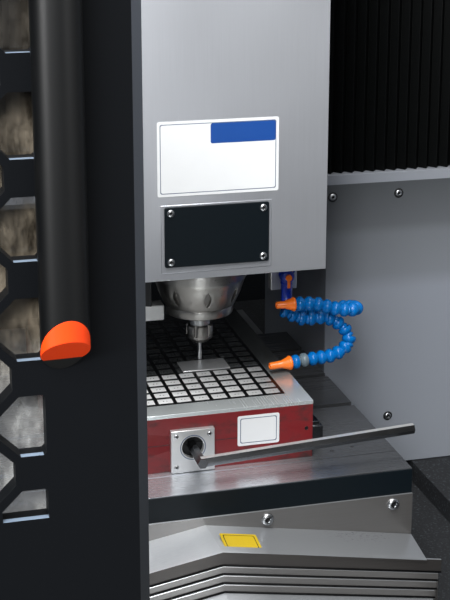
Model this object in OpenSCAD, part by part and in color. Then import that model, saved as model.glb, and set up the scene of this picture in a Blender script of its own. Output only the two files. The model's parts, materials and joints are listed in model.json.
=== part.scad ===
/* [Machine] */
// Overall width of the enclosure, mm
machine_width = 1560; // [1540:10:1640]
// Overall depth from the stop button to the rear sheet, mm
machine_depth = 1860; // [1840:10:1900]
// Height of the enclosure sheets, mm
enclosure_height = 1960; // [1950:5:1980]
// Height of the chamber floor, mm
floor_height = 674; // [650:1:700]

/* [Table] */
// Width of the worktable, mm
table_width = 562; // [540:2:566]
// Length of the worktable, mm
table_length = 560; // [520:5:580]
// Height of the table top above the chamber floor, mm
table_rise = 176; // [175:0.5:176]
// Height of the painted band on the front of the table, mm
table_band_height = 34; // [28:1:36]
// Slope of the way covers to each side, degrees
cover_slope = 9.7; // [8:0.1:10]

/* [Magnetic chuck] */
// Width of the chuck, mm
chuck_width = 332; // [300:2:340]
// Depth of the chuck, mm
chuck_depth = 400; // [360:5:400]
// Height of the chuck, mm
chuck_height = 80; // [78:0.5:80]
// Pitch of the pole cells across the chuck, mm
cell_pitch_x = 24.5; // [20:0.5:26]
// Pitch of the pole cells along the chuck, mm
cell_pitch_y = 21.3; // [18:0.1:22]
// Width across flats of the hexagonal key, mm
key_size = 12; // [10:1:14]
// Length of the long arm of the key, mm
key_length = 287; // [200:1:287]

/* [Spindle head] */
// Distance of the spindle axis right of the machine centre, mm
spindle_x = 56; // [40:1:60]
// Width of the head cover, mm
head_width = 278; // [270:2:280]
// Height of the lower edge of the head cover above the table top, mm
head_rise = 247; // [246:1:260]
// Diameter of the spindle nose at its lower rim, mm
nose_diameter = 94; // [90:1:98]
// Diameter of the collet nut, mm
nut_diameter = 38; // [34:1:42]
// Diameter of the cutting tool, mm
tool_diameter = 6; // [3:1:8]
// Outer diameter of the coolant hose segments, mm
hose_diameter = 20; // [17:0.5:20]

/* [Gantry] */
// Clear width between the columns, mm
passage_width = 576; // [570:2:590]
// Height of the underside of the gantry above the chamber floor, mm
passage_rise = 462; // [456:1:466]
// Pitch of the bellows folds, mm
fold_pitch = 17; // [14:1:20]

/* [Doors] */
// Distance of each door's edge from the centre as stored, mm
door_gap = 172; // [165:1:175]
// Width of each sliding door, mm
door_width = 420; // [412:2:424]
// Size across flats of the window openings, mm
cell_size = 53; // [48:1:56]
// Vertical pitch of the window openings, mm
cell_pitch = 83.7; // [80:0.1:90]
// Diameter of the door handle tube, mm
handle_diameter = 40; // [36:1:40]

/* [Hidden] */
$fn = 64;
half_w = machine_width / 2;
half_d = machine_depth / 2;
bed_half = half_w - 80;
cover_half = half_w - 20;
table_top = floor_height + table_rise;
head_bottom = table_top + head_rise;
passage_top = floor_height + passage_rise;
header_bottom = enclosure_height - 25;
header_top = enclosure_height + 30;
console_left = half_w - 318;
console_right = half_w - 42;
console_bottom = floor_height + 496;
button_x = half_w - 80;
button_z = console_bottom + 65;
sheet = 4;
panel_front = -880;
panel_back = -856;
door_front = -850;
door_thick = 18;
door_bottom = floor_height + 26.5;
door_top = enclosure_height - 14;
opening_half = 400;
skirt_top = floor_height + 41;
foot_height = 90;
channel_floor = floor_height - 34;
channel_edge = 441;
channel_back = 100;
table_front = -344;
table_under = table_top - table_band_height;
half_table = table_width / 2;
table_back = table_front + table_length;
slot_y = [-232, -112, 8, 128];
plinth_top = floor_height + 36;
rail_y = [-330, 440];
rail_gap_y = 150;
screw_y_z = floor_height + 50;
chuck_front = -274;
chuck_top = table_top + chuck_height;
plate_t = 5;
cell_rows = 16;
cell_columns = 11;
socket_z = table_top + 35;
cam_r = 20;
running = 0.05;
ridge = table_under - 10;
fold_drop = tan(cover_slope);
lip_y = -435;
cover_end = -787;
stage_count = 3;
stage_pitch = 3;
stage_length = 150;
stage_drop = 10.5;
stage_inset = 3.2;
base_back = -312;
lip_ridge = ridge + 8;
lip_height = 18;
first_ridge = lip_ridge - lip_height - 0.3;
seat = 0.3;
tool_y = -90;
head_front = -230;
head_left = spindle_x - head_width / 2;
head_right = spindle_x + head_width / 2;
head_top = head_bottom + 543;
cover_t = 2;
pad_t = 1;
head_back = 34;
nose_bottom = head_bottom - 92;
nut_bottom = head_bottom - 136;
nut_top = head_bottom - 110;
tool_tip = chuck_top + 3;
shaft_r = 15;
saddle_front = 48;
saddle_back = 92;
saddle_bottom = passage_top + 29;
saddle_top = head_top + 210;
saddle_side = 5;
z_rail_gap = 95;
z_screw_y = 30;
z_screw_r = 7;
beam_front = 120;
beam_back = 370;
beam_half = half_w - 140;
beam_bottom = passage_top + 14;
beam_top = beam_bottom + 390;
x_rail_z = [beam_bottom + 50, beam_bottom + 340];
x_screw_z = beam_bottom + 195;
x_screw_y = 108;
ball_screw_r = 10;
column_inner = passage_width / 2 + 36;
column_outer = half_w - 220;
cover_front = 40;
ledge_top = passage_top + 22;
bellows_front = 45;
bellows_half = beam_half + 10;
window_bottom = floor_height + 420;
cell_column = 41;
cell_cut = 17;
window_top = enclosure_height - 80;
stile_width = 87;
outer_stile = 32;
chamfer = 10;
handle_low = floor_height + 552;
handle_high = window_top - 89;
handle_post = 102;
handle_turn = 3;
handle_x = 72;
handle_y = door_front - handle_diameter / 2 - 1;
socket_r = 14.5;
hatch_x = 45.5;
hatch_z = head_bottom + 58;
hatch_size = [139, 80];

// centre of each hose segment, its height counted from the lower edge of the head
upper_path = [
    [186, -88, -95], [196.7, -85.6, -102.9], [209.3, -83.5, -107.3], [222.6, -82.4, -109.2],
    [236.1, -82.9, -108.9], [249.2, -85.8, -107.1], [260.8, -92.1, -104.2], [269.3, -102, -100.6],
    [274.3, -114, -97.1], [275.4, -127.1, -93.8], [272.1, -139.9, -91], [261.4, -147.9, -89.5],
    [248.2, -150.1, -87.3], [235, -150, -84.4], [222.3, -150.1, -79.8], [209.4, -150, -75.7],
    [196, -150, -74.2], [182.5, -150, -73.4]
];
lower_path = [
    [174.1, -122, -93.3], [185.8, -124.4, -99.8], [198.3, -127, -104.4], [211.7, -129.3, -104.2],
    [225, -131.8, -103.2], [238, -134.5, -106.4], [249.2, -137, -113.6], [257.9, -140.5, -123.5],
    [260.6, -145.4, -135.9], [252, -149, -145.7], [239.9, -151.8, -151.2], [226.7, -154.4, -153.5],
    [213.3, -156.7, -153.5], [199.9, -158.8, -153.5], [186.5, -161.1, -153.5], [173.3, -164.4, -153.5]
];
upper_tip = [151, -150, -73];
lower_tip = [137, -168, -155];
valve_places = [[186, -88], [174, -122]];
valve_z = -40;
valve_r = 7.5;

steel = "#c3c6c8";
brushed = "#b4b8bb";
dark = "#1c2024";
panel_grey = "#c9ccce";
navy = "#232c36";
red = "#8f2b2d";
orange = "#f2541b";
blue = "#1d5fa8";
cast = "#6b7075";
black = "#131416";

// a block between two corners
module block(low, high) {
    translate(low) cube(high - low);
}

// turns +Z onto a direction
module along(direction) {
    rotate([0, acos(direction[2] / norm(direction)), atan2(direction[1], direction[0])]) children();
}

// a mirrored pair about the machine centre
module pair() {
    children();
    mirror([1, 0, 0]) children();
}

// a button-head screw facing -Y
module button_screw(x, y, z, r = 6) {
    translate([x, y, z]) rotate([90, 0, 0]) rotate_extrude() polygon([
        [0, 0], [r * 1.35, 0], [r * 1.35, 1.2], [r, 1.2], [r * 0.92, r * 0.4],
        [r * 0.55, r * 0.66], [r * 0.4, r * 0.7], [r * 0.4, r * 0.3], [0, r * 0.3]
    ]);
}

// a four-sided outline of a gabled cover, open below
module gable(half, top, skirt, t = 2.5) {
    side = top - half * fold_drop;
    polygon([
        [-half, side - skirt], [-half, side], [0, top], [half, side], [half, side - skirt],
        [half - t, side - skirt], [half - t, side - t], [0, top - t], [t - half, side - t],
        [t - half, side - skirt]
    ]);
}

// a gabled cover between two depths
module gabled(front, back, half, top, skirt) {
    translate([0, back, 0]) rotate([90, 0, 0]) linear_extrude(back - front) gable(half, top, skirt);
}

// the front edge of a cover, which wipes the next cover below it
module wiper(half, top, drop) {
    side = top - half * fold_drop;
    polygon([
        [-half, side - drop], [-half, side], [0, top], [half, side], [half, side - drop], [0, top - drop]
    ]);
}

// one telescopic cover, counted from the table
module stage(i, front, back) {
    top = first_ridge - stage_drop * (i - 1);
    half = half_table + 4 - stage_inset * i;
    side = top - half * fold_drop;
    gabled(front, back, half, top, side - floor_height + 22);
    translate([0, front + 3, 0]) rotate([90, 0, 0]) linear_extrude(3) wiper(half, top, stage_drop - seat);
}

// a moving telescopic cover as stored
module moving_stage(i) {
    front = lip_y - i * stage_pitch;
    stage(i, front, front + stage_length);
}

module bed() {
    color(cast) {
        difference() {
            block([-bed_half, -800, foot_height], [bed_half, 800, floor_height - 6]);
            pair() block([15, -764, foot_height - 1], [bed_half - 36, 764, channel_floor - 52]);
            pair() block([210, -796, channel_floor - sheet],
                [channel_edge + sheet, channel_back, floor_height]);
        }
        block([-210, -600, floor_height - 6], [210, 470, plinth_top]);
    }
}

module leveling_feet() {
    color(steel) pair() for (y = [-760, 0, 760]) translate([bed_half - 40, y, 0]) {
        cylinder(h = 18, r1 = 42, r2 = 34);
        translate([0, 0, 18]) cylinder(h = foot_height - 18, r = 12);
        translate([0, 0, 52]) cylinder(h = 14, r = 20, $fn = 6);
    }
}

module columns() {
    color(cast) pair() difference() {
        block([column_inner, beam_front, floor_height - 6], [column_outer, beam_back, beam_bottom]);
        block([column_inner + 30, beam_front + 30, floor_height],
            [column_outer - 30, beam_back + 1, beam_bottom - 60]);
    }
}

module cross_beam() {
    color(cast) difference() {
        block([-beam_half, beam_front, beam_bottom], [beam_half, beam_back, beam_top]);
        block([-beam_half + 60, beam_front + 60, beam_bottom + 60],
            [beam_half - 60, beam_back + 1, beam_top - 60]);
        block([-beam_half - 1, beam_front - 1, x_rail_z[0] + 40],
            [beam_half + 1, beam_front + 20, x_rail_z[1] - 40]);
    }
}

// sheets that clad the columns, and the ledge below the bellows
module gantry_covers() {
    inner = passage_width / 2;
    color(panel_grey) {
        pair() {
            block([inner, cover_front, floor_height + 1], [cover_half, cover_front + 3, passage_top]);
            block([inner, cover_front + 3, floor_height + 1], [inner + 3, beam_back, passage_top]);
            for (z = [floor_height + 86, passage_top - 76])
                block([inner + 3, cover_front + 3, z], [inner + 72, beam_front, z + 20]);
        }
        block([-cover_half, cover_front, passage_top], [cover_half, beam_front, passage_top + 3]);
        block([-cover_half, cover_front, passage_top + 3], [cover_half, cover_front + 3, ledge_top - 2]);
        block([-cover_half, cover_front, ledge_top - 2], [cover_half, beam_front, ledge_top]);
        pair() block([bellows_half, beam_front, passage_top], [cover_half, beam_front + 3, ledge_top]);
    }
}

module rail_x(z) {
    block([20 - beam_half, beam_front - 22, z - 10], [beam_half - 20, beam_front, z + 10]);
}

module frame_rails() {
    color(steel) {
        for (z = x_rail_z) rail_x(z);
        pair() block([rail_gap_y - 10, rail_y[0], plinth_top],
            [rail_gap_y + 10, rail_y[1], plinth_top + 20]);
    }
}

module axis_motors() {
    color(black) {
        block([beam_half + 10, x_screw_y - 48, x_screw_z - 48],
            [beam_half + 102, x_screw_y + 48, x_screw_z + 48]);
        block([beam_half, beam_front, x_screw_z - 40], [beam_half + 10, beam_front + 40, x_screw_z + 40]);
        block([-50, 482, floor_height], [50, 600, floor_height + 100]);
    }
}

// side benches of the chamber and the chip channels beside the ways
module chamber_tray() {
    t = sheet;
    color(dark) {
        translate([0, 0, floor_height - 6]) linear_extrude(6) difference() {
            translate([-half_w + 8, -820]) square([machine_width - 16, 820 + half_d - 12]);
            translate([-210.5, -796]) square([421, 1267]);
            for (s = [-1, 1]) {
                translate([s * (column_inner + column_outer) / 2, (beam_front + beam_back) / 2])
                    square([column_outer - column_inner + 1, beam_back - beam_front + 1], center = true);
                translate([s > 0 ? 210 : -channel_edge, -796 + t])
                    square([channel_edge - 210, channel_back + 796 - 2 * t]);
            }
            translate([-52, 470]) square([104, 132]);
        }
        pair() {
            block([210.5, -796, channel_floor - t], [channel_edge + t, channel_back, channel_floor]);
            block([channel_edge, -796, channel_floor], [channel_edge + t, channel_back, floor_height - 6]);
            block([210.5, channel_back - t, channel_floor], [channel_edge, channel_back, floor_height - 6]);
            block([210.5, -796, channel_floor], [channel_edge, -796 + t, floor_height - 6]);
        }
    }
}

module way_cover_base() {
    i = stage_count + 1;
    half = half_table + 4 - stage_inset * i;
    color(steel) {
        stage(i, cover_end, base_back);
        for (y = [cover_end + 3, -640]) pair() block([214, y, channel_floor],
            [half - 2.5, y + 30, channel_floor + 16]);
    }
}

module enclosure_sides() {
    color(panel_grey) pair() {
        block([half_w - sheet, panel_back, 60], [half_w, half_d - sheet, enclosure_height]);
        block([half_w - 34, panel_back, enclosure_height - sheet],
            [half_w - sheet, half_d - sheet, enclosure_height]);
        block([bed_half, -700, 300], [half_w - sheet, -640, 330]);
        block([bed_half, 640, 300], [half_w - sheet, 700, 330]);
    }
}

module enclosure_back() {
    color(panel_grey) {
        block([-half_w, half_d - sheet, 60], [half_w, half_d, enclosure_height]);
        block([-half_w + 34, half_d - 40, enclosure_height - sheet],
            [half_w - 34, half_d - sheet, enclosure_height]);
    }
}

module front_panels() {
    color(dark) pair() {
        block([opening_half, panel_front, skirt_top], [half_w, panel_back, header_bottom]);
    }
}

// the header over the doors and the skirt under them, with their guides
module front_frame() {
    color(dark) {
        block([-half_w, panel_front, header_bottom], [half_w, panel_back, header_top]);
        block([-half_w + sheet, panel_back, header_bottom + 27], [half_w - sheet, -818, header_top]);
        block([-half_w + 34, -826, header_bottom], [half_w - 34, -818, header_bottom + 27]);
        block([-half_w, panel_front, 60], [half_w, panel_back, skirt_top]);
        block([-half_w + sheet, panel_back, channel_floor], [half_w - sheet, -820, skirt_top - 15]);
        block([-half_w + sheet, -826, skirt_top - 15], [half_w - sheet, -820, skirt_top - 3]);
    }
}

module console_housing() {
    color("#2b2f34") difference() {
        block([console_left, panel_front - 25, console_bottom],
            [console_right, panel_front, console_bottom + 400]);
        block([console_left + 28, panel_front - 26, console_bottom + 176],
            [console_right - 28, panel_front - 20, console_bottom + 362]);
        translate([button_x, panel_front + 1, button_z]) rotate([90, 0, 0]) cylinder(h = 30, r = 8.06);
    }
}

module console_screen() {
    color("#0b1218") block([console_left + 30, panel_front - 23, console_bottom + 178],
        [console_right - 30, panel_front - 20, console_bottom + 360]);
}

module console_keys() {
    color("#d5d8da") for (i = [0:5]) for (j = [0:3])
        translate([console_left + 28 + i * 27, panel_front - 27, console_bottom + 30 + j * 27])
            cube([22, 2, 22]);
}

module stop_button() {
    color("#c3151b") translate([button_x, panel_front, button_z]) rotate([90, 0, 0]) {
        translate([0, 0, 8]) cylinder(h = 33, r = 8);
        translate([0, 0, 38]) cylinder(h = 7, r1 = 16, r2 = 19);
        translate([0, 0, 45]) cylinder(h = 5, r1 = 19, r2 = 15);
    }
}

module cover_screws() {
    inner = passage_width / 2;
    color(steel) pair() {
        for (x = [inner + 9, inner + 116, cover_half - 160])
            button_screw(x, cover_front, passage_top - 12, 5.5);
        for (x = [inner + 109, cover_half - 120]) button_screw(x, cover_front, floor_height + 83, 5.5);
        button_screw(cover_half - 120, cover_front, floor_height + 266, 5.5);
    }
}

module worktable() {
    color(brushed) {
        difference() {
            block([-half_table, table_front + 2, table_under], [half_table, table_back, table_top]);
            for (y = slot_y) {
                block([-half_table - 1, y - 6, table_top - 13], [half_table + 1, y + 6, table_top + 1]);
                block([-half_table - 1, y - 11, table_top - 22], [half_table + 1, y + 11, table_top - 13]);
            }
            block([-half_table - 1, table_front + 57, table_top - 1],
                [half_table + 1, table_front + 59, table_top + 1]);
            for (p = [[197, -264], [228, -257]])
                translate([p[0], p[1], table_top - 15]) cylinder(h = 16, r = 3);
        }
        difference() {
            block([-190, -100, plinth_top + 26], [190, 190, table_under]);
            block([-120, -101, plinth_top + 25], [120, 191, table_under - 24]);
        }
        pair() for (y = [-96, 106]) difference() {
            block([rail_gap_y - 26, y, plinth_top + 3], [rail_gap_y + 26, y + 80, plinth_top + 26]);
            block([rail_gap_y - 10.5, y - 1, plinth_top], [rail_gap_y + 10.5, y + 81, plinth_top + 20.5]);
        }
        difference() {
            block([-24, 0, screw_y_z - 12], [24, 60, table_under - 24]);
            translate([0, 61, screw_y_z]) rotate([90, 0, 0]) cylinder(h = 62, r = 8 + running);
        }
    }
}

module table_band() {
    color(navy) block([-half_table, table_front, table_under], [half_table, table_front + 2, table_top - 1]);
}

module y_screw() {
    color(steel) translate([0, 482, screw_y_z]) rotate([90, 0, 0]) cylinder(h = 780, r = 8);
}

module x_screw() {
    color(steel) translate([20 - beam_half, x_screw_y, x_screw_z]) rotate([0, 90, 0])
        cylinder(h = 2 * beam_half - 10, r = ball_screw_r);
}

module z_screw() {
    color(steel) translate([spindle_x, z_screw_y, saddle_bottom + 20]) cylinder(
        h = saddle_top - saddle_bottom - 20, r = z_screw_r);
}

module chuck_body() {
    color(red) difference() {
        block([-chuck_width / 2, chuck_front, table_top],
            [chuck_width / 2, chuck_front + chuck_depth, chuck_top - plate_t]);
        translate([0, chuck_front - 1, socket_z]) rotate([-90, 0, 0]) cylinder(h = 49, r = cam_r + running);
    }
}

module chuck_plate() {
    grid_x = cell_columns * cell_pitch_x;
    grid_y = cell_rows * cell_pitch_y;
    start_y = chuck_front + 36;
    color(steel) difference() {
        block([-chuck_width / 2, chuck_front, chuck_top - plate_t],
            [chuck_width / 2, chuck_front + chuck_depth, chuck_top]);
        translate([0, 0, chuck_top - 0.6]) linear_extrude(1) {
            for (i = [0:cell_columns]) translate([i * cell_pitch_x - grid_x / 2 - 2.5, start_y])
                square([5, grid_y]);
            for (j = [0:cell_rows]) translate([-grid_x / 2 - 2.5, start_y + j * cell_pitch_y - 3])
                square([grid_x + 5, 6]);
        }
    }
}

module socket_plate() {
    color(steel) difference() {
        block([-29, chuck_front - 8, socket_z - 34], [29, chuck_front, socket_z + 24]);
        translate([0, chuck_front + 1, socket_z]) rotate([90, 0, 0]) cylinder(h = 20, r = socket_r);
    }
}

module workpiece() {
    color("#d9dcde") block([22, -132, chuck_top], [90, -92, chuck_top + 2]);
}

// the front shield rises a little to its lip and narrows towards it
module apron() {
    side = ridge - half_table * fold_drop;
    reach = table_front - lip_y;
    rise = atan((lip_ridge - ridge) / reach);
    color(brushed) {
        difference() {
            translate([0, table_front, ridge]) rotate([-rise, 0, 0]) translate([0, 0, -ridge])
                gabled(-reach, 0, half_table, ridge, 3);
            pair() translate([half_table, table_front, ridge - 106]) rotate(-9.5) translate([0, -120, 0])
                cube([60, 140, 120]);
        }
        translate([0, table_front, 0]) rotate([90, 0, 0]) linear_extrude(3) polygon([
            [-half_table, side - 4], [-half_table, table_under], [half_table, table_under],
            [half_table, side - 4], [half_table - 3, side - 4], [0, ridge - 5], [3 - half_table, side - 4]
        ]);
        translate([0, lip_y + 2, 0]) rotate([90, 0, 0]) linear_extrude(3)
            wiper(half_table + 5, lip_ridge, lip_height);
        block([-half_table, table_back, table_under - 20], [half_table, table_back + 3, table_under]);
        block([-half_table, table_back + 3, table_under - 20],
            [half_table, table_back + 280, table_under - 17]);
        pair() block([half_table - 3, table_back + 3, floor_height + 20],
            [half_table, table_back + 280, table_under - 20]);
    }
}

// hold-down clamps of the chuck, in the table slot
module chuck_clamps() {
    side = chuck_width / 2;
    color(steel) pair() for (y = [slot_y[0], slot_y[2]]) {
        block([side + 0.5, y - 14, table_top], [side + 24, y + 14, table_top + 30]);
        block([side + 0.5, y - 11, table_top + 30], [side + 20, y + 11, table_top + 36]);
    }
}

module table_screws() {
    color(steel) {
        pair() for (x = [82, 254]) button_screw(x, table_front - 3, table_under - 12, 7);
        for (x = [-22, 22]) for (z = [-26, 17]) button_screw(x, chuck_front - 8, socket_z + z, 3);
    }
}

module chuck_cam() {
    color(dark) difference() {
        translate([0, chuck_front + 1, socket_z]) rotate([-90, 0, 0]) cylinder(h = 46, r = cam_r);
        translate([0, chuck_front, socket_z]) rotate([-90, 0, 0])
            cylinder(h = 30, r = key_size / 2 / cos(30) + 0.2, $fn = 6);
    }
}

module cam_key() {
    corner = key_size / 2 / cos(30);
    elbow = -329;
    color("#8d9094") translate([0, 0, socket_z]) {
        translate([0, elbow - corner, 0]) rotate([-90, 0, 0])
            cylinder(h = chuck_front + 24 - elbow + corner, r = corner, $fn = 6);
        translate([0, elbow, 0]) rotate([0, 87, 0]) rotate([0, 0, 30])
            cylinder(h = key_length, r = corner, $fn = 6);
    }
}

module way_cover_1() {
    color(steel) moving_stage(1);
}

module way_cover_2() {
    color(steel) moving_stage(2);
}

module way_cover_3() {
    color(steel) moving_stage(3);
}

// a folded strip between two places across the machine
module bellows(from, to) {
    folds = floor((to - from) / fold_pitch);
    pitch = (to - from) / folds;
    outer = [for (i = [0:folds]) each i == folds ? [[to, bellows_front + 14]] :
        [[from + i * pitch, bellows_front + 14], [from + (i + 0.5) * pitch, bellows_front]]];
    inner = [for (i = [folds:-1:0]) each i == folds ? [[to, bellows_front + 16]] :
        [[from + (i + 0.5) * pitch, bellows_front + 2], [from + i * pitch, bellows_front + 16]]];
    translate([0, 0, ledge_top + 0.5]) linear_extrude(beam_top - ledge_top) polygon(concat(outer, inner));
}

module bellows_left() {
    color(black) bellows(-bellows_half, head_left - saddle_side);
}

module bellows_right() {
    color(black) bellows(head_right + saddle_side, bellows_half);
}

module x_saddle() {
    left = head_left - saddle_side;
    right = head_right + saddle_side;
    color(cast) {
        block([left, saddle_front, saddle_bottom], [right, saddle_back, saddle_top]);
        for (x = [left + 40, right - 110]) for (z = x_rail_z) difference() {
            block([x, saddle_back, z - 24], [x + 70, saddle_back + 22, z + 24]);
            block([x - 1, beam_front - 22.5, z - 10.5], [x + 71, beam_front, z + 10.5]);
        }
        difference() {
            block([spindle_x - 40, saddle_back, x_screw_z - 28],
                [spindle_x + 40, beam_front + 6, x_screw_z + 28]);
            translate([spindle_x - 41, x_screw_y, x_screw_z]) rotate([0, 90, 0])
                cylinder(h = 82, r = ball_screw_r + running);
        }
    }
    color(steel) for (s = [-1, 1])
        block([spindle_x + s * z_rail_gap - 10, saddle_front - 22, saddle_bottom + 10],
            [spindle_x + s * z_rail_gap + 10, saddle_front, saddle_top - 10]);
}

module z_motor() {
    color(black) {
        block([spindle_x - 60, -22, saddle_top], [spindle_x + 60, saddle_back, saddle_top + 12]);
        block([spindle_x - 45, z_screw_y - 45, saddle_top + 12],
            [spindle_x + 45, z_screw_y + 45, saddle_top + 146]);
    }
}

module head_cover() {
    t = cover_t;
    wide = hatch_size[0] / 2 + 4;
    color(brushed) block([hatch_x - wide, head_front - pad_t, hatch_z - hatch_size[1] / 2 - 8],
        [hatch_x + wide, head_front, hatch_z + hatch_size[1] / 2 + 2]);
    color(brushed) difference() {
        block([head_left, head_front, head_bottom], [head_right, head_back, head_top]);
        block([head_left + t, head_front + t, head_bottom + t],
            [head_right - t, head_back + 1, head_top - t]);
        block([spindle_x - 72, tool_y - 72, head_bottom - 1],
            [spindle_x + 72, tool_y + 72, head_bottom + t + 1]);
        block([head_left + t, 10, head_bottom - 1], [head_right - t, head_back + 1, head_bottom + t + 1]);
        block([spindle_x - 110, 10, head_top - t - 1], [spindle_x + 110, head_back + 1, head_top + 1]);
    }
}

module hatch_plate() {
    w = hatch_size[0] / 2;
    h = hatch_size[1] / 2;
    color(navy) translate([hatch_x, head_front - pad_t, hatch_z]) rotate([90, 0, 0]) linear_extrude(3) {
        square([2 * w - 6, 2 * h], center = true);
        square([2 * w, 2 * h - 6], center = true);
        for (i = [-1, 1]) for (j = [-1, 1]) translate([i * (w - 3), j * (h - 3)]) circle(3);
    }
}

module hatch_screws() {
    color(steel) for (x = [-61.5, 61.5]) for (z = [-32.5, 32.5])
        button_screw(hatch_x + x, head_front - pad_t - 3, hatch_z + z, 5);
}

module headstock() {
    inner = head_width / 2 - cover_t;
    color(cast) {
        difference() {
            block([spindle_x - 90, tool_y - 90, head_bottom + 15], [spindle_x + 90, 14, head_bottom + 323]);
            translate([spindle_x, tool_y, head_bottom]) cylinder(h = 330, r = 50.3);
        }
        block([spindle_x - 125, -14, head_bottom + 15], [spindle_x + 125, 14, head_top - 30]);
        for (s = [-1, 1]) for (z = [head_bottom + 103, head_bottom + 403]) difference() {
            block([spindle_x + s * z_rail_gap - 20, 14, z], [spindle_x + s * z_rail_gap + 20, 42, z + 80]);
            block([spindle_x + s * z_rail_gap - 10.5, saddle_front - 22.5, z - 1],
                [spindle_x + s * z_rail_gap + 10.5, saddle_front, z + 81]);
        }
        difference() {
            block([spindle_x - 24, 14, head_bottom + 283], [spindle_x + 24, 44, head_bottom + 343]);
            translate([spindle_x, z_screw_y, head_bottom + 282]) cylinder(h = 62, r = z_screw_r + running);
        }
        for (s = [-1, 1]) translate([spindle_x + s * (inner + 125) / 2, 9, head_bottom + 223])
            cube([inner - 125, 10, 40], center = true);
    }
}

// tapered nose with a lower rim and tall relief slots, and the barrel above it
module spindle_housing() {
    rim = nose_diameter / 2;
    top = head_bottom + 15;
    color(steel) translate([spindle_x, tool_y, 0]) difference() {
        rotate_extrude() polygon([
            [shaft_r + running, nose_bottom + 4], [rim - 26, nose_bottom + 4], [rim - 22, nose_bottom],
            [rim - 1.5, nose_bottom], [rim, nose_bottom + 1.5], [rim + 1.5, nose_bottom + 12],
            [rim + 0.7, nose_bottom + 13], [rim + 3, nose_bottom + 14.5], [rim + 11, nose_bottom + 32],
            [rim + 17, nose_bottom + 50], [rim + 20, nose_bottom + 56], [rim + 20, top],
            [50, top], [50, head_bottom + 293], [shaft_r + running, head_bottom + 293]
        ]);
        for (a = [-92:45:223]) rotate(a) translate([rim + 1, 0, nose_bottom + 33]) rotate([90, 0, 90])
            linear_extrude(20) intersection() {
                translate([13, 0]) circle(18);
                translate([-13, 0]) circle(18);
            }
    }
}

module coolant_block() {
    color("#9aa0a5") {
        block([158, -140, head_bottom - 26], [198, -66, head_bottom]);
        block([164, -79.5, head_bottom - 74], [203, -66, head_bottom - 26]);
        block([spindle_x - 86, tool_y - 28, nose_bottom], [spindle_x - 57, tool_y - 4, nose_bottom + 22]);
        block([spindle_x - 86, tool_y - 28, nose_bottom + 22], [spindle_x - 74, tool_y - 4, head_bottom]);
    }
}

// one barrel-shaped hose segment about its own centre
module segment(r) {
    rotate_extrude() polygon([
        [0, -6.4], [2, -6.4], [r * 0.9, -3.2], [r, -1], [r, 2.4], [r * 0.84, 4.5], [2, 6.4], [0, 6.4]
    ]);
}

// a chain of segments, each seated in the next
module hose(path) {
    last = len(path) - 1;
    for (i = [0:last]) {
        heading = path[min(i + 1, last)] - path[max(i - 1, 0)];
        translate(path[i]) along(heading) segment(hose_diameter / 2);
    }
}

module hoses() {
    color(blue) translate([0, 0, head_bottom]) {
        hose(upper_path);
        hose(lower_path);
        for (i = [0, 1]) translate([valve_places[i][0], valve_places[i][1], 0]) {
            low = [upper_path, lower_path][i][0][2];
            translate([0, 0, low + 8]) cylinder(h = valve_z - low - 8, r = valve_r);
            translate([0, 0, low - 2]) cylinder(h = 12, r = 5);
            translate([0, 8, valve_z]) rotate([90, 0, 0]) cylinder(h = 18, r = 10);
            translate([0, 0, valve_z]) cylinder(h = -26 - valve_z, r = 7);
        }
    }
}

// a tapered nozzle from the last segment to its tip
module nozzle(start, tip) {
    reach = norm(tip - start);
    translate(start) along(tip - start) difference() {
        translate([0, 0, 6.6]) rotate_extrude($fn = 40) polygon([
            [0, 0], [9.2, 0], [9.2, 3.5], [5.4, 14], [4.2, reach - 6.6], [0, reach - 6.6]
        ]);
        translate([0, 0, 20]) cylinder(h = reach, r = 2, $fn = 24);
    }
}

module nozzles() {
    color(orange) translate([0, 0, head_bottom]) {
        nozzle(upper_path[len(upper_path) - 1], upper_tip);
        nozzle(lower_path[len(lower_path) - 1], lower_tip);
    }
}

// the small lever of a coolant valve, on its front
module valve_lever(i) {
    color(orange) translate([valve_places[i][0], valve_places[i][1] - 10.3, head_bottom + valve_z])
        rotate([90, 0, 0]) {
        cylinder(h = 3.5, r = 4.5);
        translate([-2, -15, 0.5]) cube([4, 15, 2.4]);
    }
}

module valve_lever_upper() {
    valve_lever(0);
}

module valve_lever_lower() {
    valve_lever(1);
}

module spindle_shaft() {
    color(steel) translate([spindle_x, tool_y, nut_top]) {
        cylinder(h = head_bottom + 287 - nut_top, r = shaft_r);
    }
}

module collet_nut() {
    r = nut_diameter / 2;
    color("#a8abad") translate([spindle_x, tool_y, 0]) difference() {
        rotate_extrude() polygon([
            [tool_diameter / 2 + 0.3, nut_bottom], [r - 7, nut_bottom], [r - 3, nut_bottom + 5],
            [r, nut_bottom + 6], [r, nut_top - 2], [r - 2, nut_top], [tool_diameter / 2 + 0.3, nut_top]
        ]);
        for (a = [0:60:300]) rotate(a) translate([r, 0, nut_bottom + 10])
            cylinder(h = 20, r = 2.6, $fn = 24);
    }
}

// a round shank above a fluted end
module cutting_tool() {
    r = tool_diameter / 2;
    color("#8a8d90") translate([spindle_x, tool_y, 0]) {
        translate([0, 0, tool_tip + 14]) cylinder(h = nut_top - tool_tip - 14, r = r, $fn = 32);
        difference() {
            translate([0, 0, tool_tip]) cylinder(h = 14, r = r * 0.9, $fn = 32);
            for (a = [45:90:315])
                rotate(a) translate([r, 0, tool_tip - 1]) cylinder(h = 14, r = r * 0.4, $fn = 4);
        }
    }
}

// eight-sided opening of the window
module cell() {
    h = cell_size / 2;
    c = cell_cut;
    polygon([
        [-h, c - h], [c - h, -h], [h - c, -h], [h, c - h], [h, h - c], [h - c, h], [c - h, h], [-h, h - c]
    ]);
}

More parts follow.
